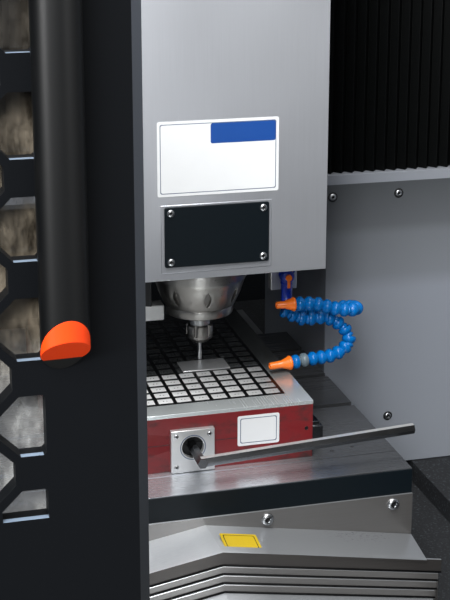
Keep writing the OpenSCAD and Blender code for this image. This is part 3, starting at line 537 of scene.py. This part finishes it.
ringSize = {"inner": 16.0, "outer": 17.2, "thick": 0.12, "place": (0, -0.282, 0.885)}
markSize = {"holeRadius": 1.8, "rimRadius": 2.7, "holePlace": (0.157, -0.274, 0.8915),
            "seamHalf": 113.5, "seamRadius": 0.4, "seamPlace": (-0.052, -0.274, 0.8882)}


def socketRing():
    # the scored ring round the key's socket
    bm = bmesh.new()
    inner, outer, thick = ringSize["inner"], ringSize["outer"], ringSize["thick"]
    ring = turned([(inner, 0), (outer, 0), (outer, thick), (inner, thick), (inner, 0)], 48)
    addCopy(bm, ring, Matrix.Translation(ringSize["place"]) @ facing((0, -1, 0)))
    ring.free()
    keep("socketRing", bm, "plateLine", "table", smooth=30)


def chuckMarks():
    # an oil hole with its rim, and the seam of the two halves of the body; the hole and rim are a dark
    # disc, painted shade for the hole, and the seam is the body's dark joint
    hole, rim, half, thin = (markSize[key] for key in ("holeRadius", "rimRadius", "seamHalf", "seamRadius"))
    oilHole = turned([(0, 0.06), (hole, 0.06), (2.0, 0.3), (2.5, 0.3), (rim, 0)], 24)
    bodySeam = turned([(0, -half), (thin, -half), (thin, half), (0, half)], 6)
    bm = bmesh.new()
    for mark, place, direction in ((oilHole, markSize["holePlace"], (0, -1, 0)),
                                   (bodySeam, markSize["seamPlace"], (1, 0, 0))):
        addCopy(bm, mark, Matrix.Translation(place) @ facing(direction))
        mark.free()
    keep("chuckMarks", bm, "socketBlack", "table", smooth=30)


socketRing()
chuckMarks()
print("chuck marks made")


# button-head screws

def buttonScrews(name, places, radius, body, replaced=(), washer=False, outward=(0, -1, 0)):
    # places are the points where the heads meet the sheet
    head = turned([(0, 0), (radius, 0), (radius, 0.10 * radius), (0.90 * radius, 0.32 * radius),
                   (0.70 * radius, 0.46 * radius), (0.52 * radius, 0.50 * radius),
                   (0.50 * radius, 0.14 * radius), (0, 0.14 * radius)], 28)
    ring = turned([(0.6 * radius, 0), (1.38 * radius, 0), (1.38 * radius, 0.22), (1.34 * radius, 0.30),
                   (0.6 * radius, 0.30)], 32)
    heads, sockets, rings = bmesh.new(), bmesh.new(), bmesh.new()
    for x, y, z in places:
        spot = Matrix.Translation((x * mm, y * mm, z * mm)) @ facing(outward)
        addCopy(heads, head, spot)
        if washer:
            addCopy(rings, ring, spot)
        # the hex socket is a thin dark disc: painted shade in the recess
        bmesh.ops.create_cone(sockets, cap_ends=True, segments=6, radius1=0.46 * radius * mm,
                              radius2=0.46 * radius * mm, depth=0.1 * mm,
                              matrix=spot @ Matrix.Translation((0, 0, (0.14 * radius + 0.1) * mm)))
    head.free()
    ring.free()
    keep(name, heads, "turnedSteel", body, replaced, smooth=35)
    keep(name + "Sockets", sockets, "socketBlack", body)
    if washer:
        keep(name + "Washers", rings, "plateBlack", body, smooth=35)
    else:
        rings.free()


# millimetres: the sheet's face on Y, the radius of the heads, and their places on X and Z
screwSets = {
    "hatchScrewHeads": {"face": -234, "radius": 5, "body": "head", "replaced": ["hatch_screws"],
                        "spots": [(45.5 + x, 1155 + z) for x in (-61.5, 61.5) for z in (-32.5, 32.5)]},
    "coverScrewHeads": {"face": 40, "radius": 5.5, "body": "frame", "replaced": ["cover_screws"],
                        "washer": True,
                        "spots": [(side * x, z) for side in (-1, 1) for x, z in (
                            (297, 1124), (404, 1124), (600, 1124), (397, 757), (640, 757), (640, 940))]},
    "apronScrewHeads": {"face": -347, "radius": 8.4, "body": "table", "replaced": ["table_screws"],
                        "spots": [(side * x, 804) for side in (-1, 1) for x in (82, 254)]},
    "socketScrewHeads": {"face": -282, "radius": 3, "body": "table",
                         "spots": [(x, z) for x in (-22, 22) for z in (859, 902)]},
}
for name, row in screwSets.items():
    buttonScrews(name, [(x, row["face"], z) for x, z in row["spots"]], row["radius"], row["body"],
                 row.get("replaced", ()), row.get("washer", False))

panelScrews = {"radius": 6, "rows": (170, 740, 1310, 1880), "side": 780, "sideColumns": (-790, 20, 860),
               "back": 930, "backColumns": (-730, 0, 730)}
for side, label in ((-1, "Left"), (1, "Right")):
    buttonScrews("sideScrews" + label,
                 [(side * panelScrews["side"], y, z) for y in panelScrews["sideColumns"]
                  for z in panelScrews["rows"]], panelScrews["radius"], "frame", outward=(side, 0, 0))
buttonScrews("backScrews",
             [(x, panelScrews["back"], z) for x in panelScrews["backColumns"] for z in panelScrews["rows"]],
             panelScrews["radius"], "frame", outward=(0, 1, 0))
print("screws made")


# rubber lips of the telescopic covers, and the louvres at the back

lipSize = {"radius": 1.2, "ahead": 0.0003, "sameDepth": 0.0003, "leastDrop": 0.005, "reach": 0.002}
louvres = {"starts": (-0.55, 0.31), "length": 0.24, "back": 0.9305, "heights": range(300, 521, 22),
           "radius": 4.5}


def rodsAlong(name, runs, radius, finish, body, sides=8):
    # a round-ended rod along every stretch of each run; runs are in metres, the radius in mm
    bm = bmesh.new()
    for run in runs:
        for start, end in zip(run, run[1:]):
            start, end = Vector(start), Vector(end)
            long = (end - start).length / mm
            rod = turned([(0, 0), (radius * 0.7, 0), (radius, radius * 0.4), (radius, long - radius * 0.4),
                          (radius * 0.7, long), (0, long)], sides)
            addCopy(bm, rod, Matrix.Translation(start) @ facing(end - start))
            rod.free()
    keep(name, bm, finish, body, smooth=50)


def wiperLip(node):
    # follows the lower edge of the front fold, which is the first depth where the ridge drops enough
    radius, ahead, reach = lipSize["radius"], lipSize["ahead"], lipSize["reach"]
    mesh = nodes[node].data
    spots = [mesh.vertices[i].co for face in mesh.polygons if face.normal.y < -0.9
             for i in face.vertices]
    for front in sorted({round(spot.y, 4) for spot in spots}):
        fold = [spot for spot in spots if abs(spot.y - front) < lipSize["sameDepth"]]
        ridge = [spot.z for spot in fold if abs(spot.x) < reach]
        if ridge and max(ridge) - min(ridge) > lipSize["leastDrop"]:
            break
    half = max(spot.x for spot in fold)
    side = max(spot.z for spot in fold if spot.x > half - reach) - (max(ridge) - min(ridge))
    line = [(x, front - ahead, z + radius * mm)
            for x, z in ((-half, side), (0, min(ridge)), (half, side))]
    rodsAlong("wiperLip_" + node, [line], radius, "wiperRubber", nodes[node]["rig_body"])


for cover in ("apron", "way_cover_1", "way_cover_2", "way_cover_3"):
    wiperLip(cover)
rodsAlong("backLouvres",
          [[(x, louvres["back"], z * mm), (x + louvres["length"], louvres["back"], z * mm)]
           for x in louvres["starts"] for z in louvres["heights"]],
          louvres["radius"], "shellGrey", "frame")
print("lips and louvres made")


# folded bellows

bellowsSize = {"pitch": 0.017, "front": 0.0465, "depth": 0.013, "low": 1.1586, "height": 0.382,
               "cloth": 0.0014, "rounding": 0.0016}
bellowsEnds = {"left": (-0.650, -0.088), "right": (0.650, 0.200)}


def foldedBellows(name, node, fixedEnd, movingEnd):
    # a zigzag line raised to a sheet with a thickness, between the two ends
    size = bellowsSize
    low, high = sorted((fixedEnd, movingEnd))
    folds = int((high - low) / size["pitch"])
    step = (high - low) / folds
    bm = bmesh.new()
    line = [bm.verts.new((low + step * i / 2, size["front"] + (0 if i % 2 else size["depth"]),
                          size["low"])) for i in range(2 * folds + 1)]
    for pair in zip(line, line[1:]):
        bm.edges.new(pair)
    bmesh.ops.bevel(bm, geom=line[1:-1], offset=size["rounding"], affect="VERTICES", segments=2,
                    profile=0.5, material=-1)
    raised = bmesh.ops.extrude_edge_only(bm, edges=bm.edges[:])
    top = [v for v in raised["geom"] if isinstance(v, bmesh.types.BMVert)]
    bmesh.ops.translate(bm, verts=top, vec=(0, 0, size["height"]))
    bmesh.ops.recalc_face_normals(bm, faces=bm.faces)
    bmesh.ops.solidify(bm, geom=bm.faces[:], thickness=size["cloth"])
    bmesh.ops.recalc_face_normals(bm, faces=bm.faces)
    piece = keep(name, bm, "bellowsCloth", None, [node], smooth=40)
    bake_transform(piece)


for side, (fixedEnd, movingEnd) in bellowsEnds.items():
    foldedBellows("foldedBellows" + side.capitalize(), "bellows_" + side, fixedEnd, movingEnd)
print("bellows made")


# pole marks and filler of the chuck

poleSize = {"pitchX": 24.5, "pitchY": 21.3, "columns": 11, "rows": 16, "front": -238.0, "top": 930.0,
            "sideMargin": 2.5, "endMargin": 5.8, "fillerThick": 0.4, "fillerDown": 0.28,
            "markShift": 2.2, "markRadius": 0.9, "markHigh": 0.06}


def poleFace():
    # black filler in the grooves, and two dark rivets on each pole
    size = poleSize
    halfX = size["columns"] * size["pitchX"] / 2 + size["sideMargin"]
    depth = size["rows"] * size["pitchY"]
    bm = bmesh.new()
    bmesh.ops.create_cube(bm, size=1)
    bmesh.ops.scale(bm, vec=(2 * halfX * mm - 0.0002, (depth + size["endMargin"]) * mm,
                             size["fillerThick"] * mm), verts=bm.verts)
    bmesh.ops.translate(bm, vec=(0, (size["front"] + depth / 2) * mm,
                                 (size["top"] - size["fillerDown"]) * mm), verts=bm.verts)
    keep("poleFiller", bm, "poleFiller", "table")
    marks = bmesh.new()
    for i in range(size["columns"]):
        for j in range(size["rows"]):
            x = (i - (size["columns"] - 1) / 2) * size["pitchX"]
            y = size["front"] + (j + 0.5) * size["pitchY"]
            for offset in (-size["markShift"], size["markShift"]):
                bmesh.ops.create_cone(
                    marks, cap_ends=True, segments=10, radius1=size["markRadius"] * mm,
                    radius2=size["markRadius"] * mm, depth=size["markHigh"] * mm,
                    matrix=Matrix.Translation(((x + offset) * mm, y * mm,
                                               (size["top"] + size["markHigh"] / 2) * mm)))
    keep("poleMarks", marks, "poleFiller", "table")


poleFace()
print("pole face made")


# plain plates, with no print

plateLook = {"thick": 0.4, "corner": 2.5, "lineInset": 7, "fieldInset": 9}


def plainPlate(name, centre, size, border, finish, body, header=None, tilt=None):
    # a thin plate facing -Y, with a frame line and an optional coloured field; millimetres
    wide, high = size
    thick, line, field = plateLook["thick"], plateLook["lineInset"], plateLook["fieldInset"]
    matrix = Matrix.Translation(Vector(centre) * mm) @ (tilt or Matrix.Identity(4))

    def layer(label, w, h, x, z, depth, colour):
        bm = bmesh.new()
        bmesh.ops.create_cube(bm, size=1)
        bmesh.ops.scale(bm, vec=(w * mm, thick * mm, h * mm), verts=bm.verts)
        corners = [e for e in bm.edges if abs((e.verts[0].co - e.verts[1].co).y) > 0.5 * thick * mm]
        bmesh.ops.bevel(bm, geom=corners, offset=min(plateLook["corner"], h * 0.1) * mm, affect="EDGES",
                        segments=4, profile=0.5, material=-1)
        bmesh.ops.translate(bm, vec=(x * mm, -depth * mm, z * mm), verts=bm.verts)
        bmesh.ops.transform(bm, matrix=matrix, verts=bm.verts, space=Matrix.Identity(4))
        keep(name + label, bm, colour, body)

    layer("Back", wide, high, 0, 0, thick / 2, finish)
    layer("Line", wide - line, high - line, 0, 0, thick / 2 + 0.06, border)
    layer("Field", wide - field, high - field, 0, 0, thick / 2 + 0.12, finish)
    if header:
        layer("Header", header["width"], header["height"], header["x"], header["z"],
              thick / 2 + 0.18, header["finish"])


apronSlope = Matrix.Rotation(math.radians(9.7), 4, "Y") @ Matrix.Rotation(math.radians(-85), 4, "X")
plates = {
    "headPlate": {"centre": (48, -230, 1257), "size": (160, 97), "border": "plateLine",
                  "finish": "platePlain", "body": "head",
                  "header": {"width": 86, "height": 26, "x": 32.5, "z": 31, "finish": "plateBlue"}},
    "chuckPlate": {"centre": (90.5, -274, 897), "size": (57, 42), "border": "plateLine",
                   "finish": "platePlain", "body": "table"},
    "apronPatch": {"centre": (31, -404, 807.7), "size": (48, 36), "border": "plateBlack",
                   "finish": "plateYellow", "body": "table", "tilt": apronSlope},
}
for name, plate in plates.items():
    plainPlate(name, **plate)
print("plates made")


# dressed CAD pieces

# the finish of each piece, and the radius of its edges in metres
dressings = {
    "worktable": ("tableSteel", 0.0012), "table_band": ("bandNavy", 0.0006),
    "chuck_body": ("chuckRed", 0.0012), "chuck_plate": ("plateSteel", 0.0003),
    "socket_plate": ("groundSteel", 0.0012), "workpiece": ("groundSteel", 0.0006),
    "apron": ("apronSheet", 0.0009), "chuck_clamps": ("keySteel", 0.001), "cam_key": ("keySteel", 0.0010),
    "way_cover_1": ("apronSheet", 0.0008), "way_cover_2": ("apronSheet", 0.0008),
    "way_cover_3": ("apronSheet", 0.0008), "way_cover_base": ("apronSheet", 0.0008),
    "head_cover": ("coverSheet", 0.0009), "hatch_plate": ("bandNavy", 0.0007),
    "door_left": ("doorBlack", 0.0010), "door_right": ("doorBlack", 0.0010),
    "front_panels": ("doorBlack", 0.003), "front_frame": ("doorBlack", 0.003),
    "gantry_covers": ("coverGrey", 0.0010), "enclosure_sides": ("shellGrey", 0.0010),
    "enclosure_back": ("shellGrey", 0.0010), "console_housing": ("consoleGrey", 0.003),
    "console_keys": ("keyPlastic", 0.001), "coolant_block": ("groundSteel", 0.0012),
    "columns": ("castingShadeBlack", 0.004), "cross_beam": ("castingShadeBlack", 0.004),
    "bed": ("castingShadeBlack", 0.004), "x_saddle": ("castingShadeBlack", 0.002),
    "headstock": ("castingShadeBlack", 0.002), "z_motor": ("motorBlack", 0.003),
    "axis_motors": ("motorBlack", 0.003), "chamber_tray": ("trayBlack", 0.0015),
    "spindle_housing": ("noseSteel", 0.0006), "collet_nut": ("noseSteel", 0.0004),
    "handle_caps_left": ("capOrange", 0.0025), "handle_caps_right": ("capOrange", 0.0025),
    "valve_lever_upper": ("nozzleOrange", 0.0006), "valve_lever_lower": ("nozzleOrange", 0.0006),
}


glintLine = -0.844  # in front of this, 6 mm deep, the up-facing edges of the doors' openings carry a painted glint
ledgeLow = 1.143  # the ledge's own grey starts here
footTop = 1.027  # the bracket beside the nose is bright below this
openingsTop = 1.94  # the door's own top edge, above this, gets no painted glint
lipFront = -0.4  # the apron's faces in front of this belong to its lip
# where the front rows of poles get the bright finish: painted light in front of the head's shadow
paintedLitPoles = {"above": 0.929, "areaBelow": 0.001, "inFrontOf": -0.1315}
keyBarFrom = 0.03  # the painted highlight on top of the key's bar starts here


def doorFinish(face):
    # the leading chamfer with its painted highlight, and the up-facing edges in the openings with their
    # painted glint
    # the leading chamfer: a painted highlight
    if abs(face.normal.x) > 0.5 and face.normal.y < -0.5:
        return 1
    spot = face.calc_center_median()
    return 2 if face.normal.z > 0.95 and spot.y < glintLine and spot.z < openingsTop else 0


def apronFinish(face):
    # the lip in front is darker than the upright strip below the table: both are painted shade on the same
    # sheet
    if face.normal.y > -0.7:
        return 0
    return 1 if face.calc_center_median().y < lipFront else 2


def foldFinish(face):
    # the upright folds of the shields are painted darker: a painted reflection of the dark side of the room
    return 1 if face.normal.y < -0.7 else 0


def poleFinish(face):
    # the front rows of poles get the bright pole finish: painted light where the work lamp reaches in front
    # of the head's shadow
    spot = face.calc_center_median()
    onTop = face.normal.z > 0.9 and spot.z > paintedLitPoles["above"]
    small = face.calc_area() < paintedLitPoles["areaBelow"]
    return 1 if onTop and small and spot.y < paintedLitPoles["inFrontOf"] else 0


def bracketFinish(face):
    # the bracket beside the nose has a dark upright on a bright foot
    spot = face.calc_center_median()
    return 1 if spot.x < 0.0 and spot.z > footTop else 0


def keyFinish(face):
    # the top of the key's bar gets the brighter ground steel: a painted highlight
    return 1 if face.normal.z > 0.6 and face.calc_center_median().x > keyBarFrom else 0


def innerFinish(face):
    # the rear panel is painted dark inside: painted shade for the dark chamber behind the gantry
    return 1 if face.normal.y < -0.5 else 0


otherFinishes = {
    "door_left": (("edgeGrey", "paintedGlintEdge"), doorFinish),
    "door_right": (("edgeGrey", "paintedGlintEdge"), doorFinish),
    "gantry_covers": (("ledgeGrey",), lambda face: 1 if face.calc_center_median().z > ledgeLow else 0),
    "coolant_block": (("bracketDark",), bracketFinish),
    "enclosure_back": (("innerGrey",), innerFinish), "chuck_plate": (("poleSteel",), poleFinish),
    "cam_key": (("groundSteel",), keyFinish),
    "apron": (("lipSheet", "foldSheet"), apronFinish),
    "way_cover_1": (("foldSheet",), foldFinish), "way_cover_2": (("foldSheet",), foldFinish),
    "way_cover_3": (("foldSheet",), foldFinish), "way_cover_base": (("foldSheet",), foldFinish),
}
# a plane that splits the faces of a piece, so that each side has its own finish
seams = {
    "gantry_covers": ((0, 0, ledgeLow), (0, 0, 1)), "coolant_block": ((0, 0, footTop), (0, 0, 1)),
    "door_left": ((0, glintLine, 0), (0, 1, 0)), "door_right": ((0, glintLine, 0), (0, 1, 0)),
}
for node, (finish, radius) in dressings.items():
    others, chosen = otherFinishes.get(node, ((), None))
    dressed(node, finish, radius, others, chosen, seams.get(node))

plainFinishes = {
    "leveling_feet": "turnedSteel", "frame_rails": "groundSteel", "console_screen": "screenGlass",
    "stop_button": "stopRed", "x_screw": "turnedSteel", "y_screw": "turnedSteel",
    "z_screw": "turnedSteel", "chuck_cam": "socketBlack",
    "spindle_shaft": "turnedSteel", "cutting_tool": "turnedSteel", "window_left": "windowSheet",
    "window_right": "windowSheet", "handle_left": "handleBlack", "handle_right": "handleBlack",
}
for node, finish in plainFinishes.items():
    nodes[node].data.materials.clear()
    nodes[node].data.materials.append(finishes[finish])
print("pieces dressed")


# floor, world and lamps

floorMesh = bmesh.new()
bmesh.ops.create_grid(floorMesh, x_segments=1, y_segments=1, size=12)
finishes["floorPale"] = newFinish("floorPale", "#dcdcda", 0.0, 0.7)[0]
floor = keep("floor", floorMesh, "floorPale", None)

world = bpy.data.worlds.new("studio")
bpy.context.scene.world = world
world.use_nodes = True
worldTree = world.node_tree
background = worldTree.nodes["Background"]
background.inputs["Color"].default_value = paint("#e8eaec")
background.inputs["Strength"].default_value = 0.45
rays = addNode(worldTree, "ShaderNodeLightPath")
pale = addNode(worldTree, "ShaderNodeBackground", inputs={"Color": paint("#f2f3f4"), "Strength": 1.0})
seen = addNode(worldTree, "ShaderNodeMath", {"operation": "MAXIMUM"}, {
    0: rays.outputs["Is Camera Ray"], 1: rays.outputs["Is Glossy Ray"]})
seenThrough = addNode(worldTree, "ShaderNodeMath", {"operation": "MAXIMUM"}, {
    0: seen.outputs[0], 1: rays.outputs["Is Transmission Ray"]})
either = addNode(worldTree, "ShaderNodeMixShader", inputs={
    0: seenThrough.outputs[0], 1: background.outputs[0], 2: pale.outputs[0]})
worldTree.links.new(either.outputs[0], worldTree.nodes["World Output"].inputs["Surface"])


def softLamp(name, place, aim, size, power, spread=180):
    # degrees; a narrow spread keeps the floor in front of the machine from burning out
    lamp = bpy.data.lights.new(name, "AREA")
    lamp.shape = "SQUARE"
    lamp.size = size
    lamp.energy = power
    lamp.spread = math.radians(spread)
    holder = bpy.data.objects.new(name, lamp)
    bpy.context.scene.collection.objects.link(holder)
    holder.location = place
    holder.visible_camera = False
    holder.rotation_euler = (Vector(aim) - Vector(place)).to_track_quat("-Z", "Y").to_euler()


# metres, watts and degrees; the work lamp hangs inside the chamber, so that the head's shadow falls
# behind the first rows of poles
lamps = {
    "keyLamp": {"place": (-1.5, -2.8, 3.0), "aim": (0, -0.3, 1.1), "size": 1.8, "power": 32, "spread": 70},
    "chamberLamp": {"place": (0.1, -0.45, 3.0), "aim": (0.05, -0.35, 1.0), "size": 1.0, "power": 16},
    "workLamp": {"place": (-0.15, -0.72, 1.88), "aim": (0.02, -0.26, 0.93), "size": 0.30, "power": 9},
    "sideLamp": {"place": (-2.6, -1.9, 1.7), "aim": (-0.25, -0.87, 1.4), "size": 0.7, "power": 7,
                 "spread": 60},
    "fillLamp": {"place": (1.8, -2.8, 1.9), "aim": (0, -0.3, 1.0), "size": 1.6, "power": 5, "spread": 70},
}
for name, lamp in lamps.items():
    softLamp(name, **lamp)
bpy.context.scene.view_settings.view_transform = "Standard"
print("studio made")
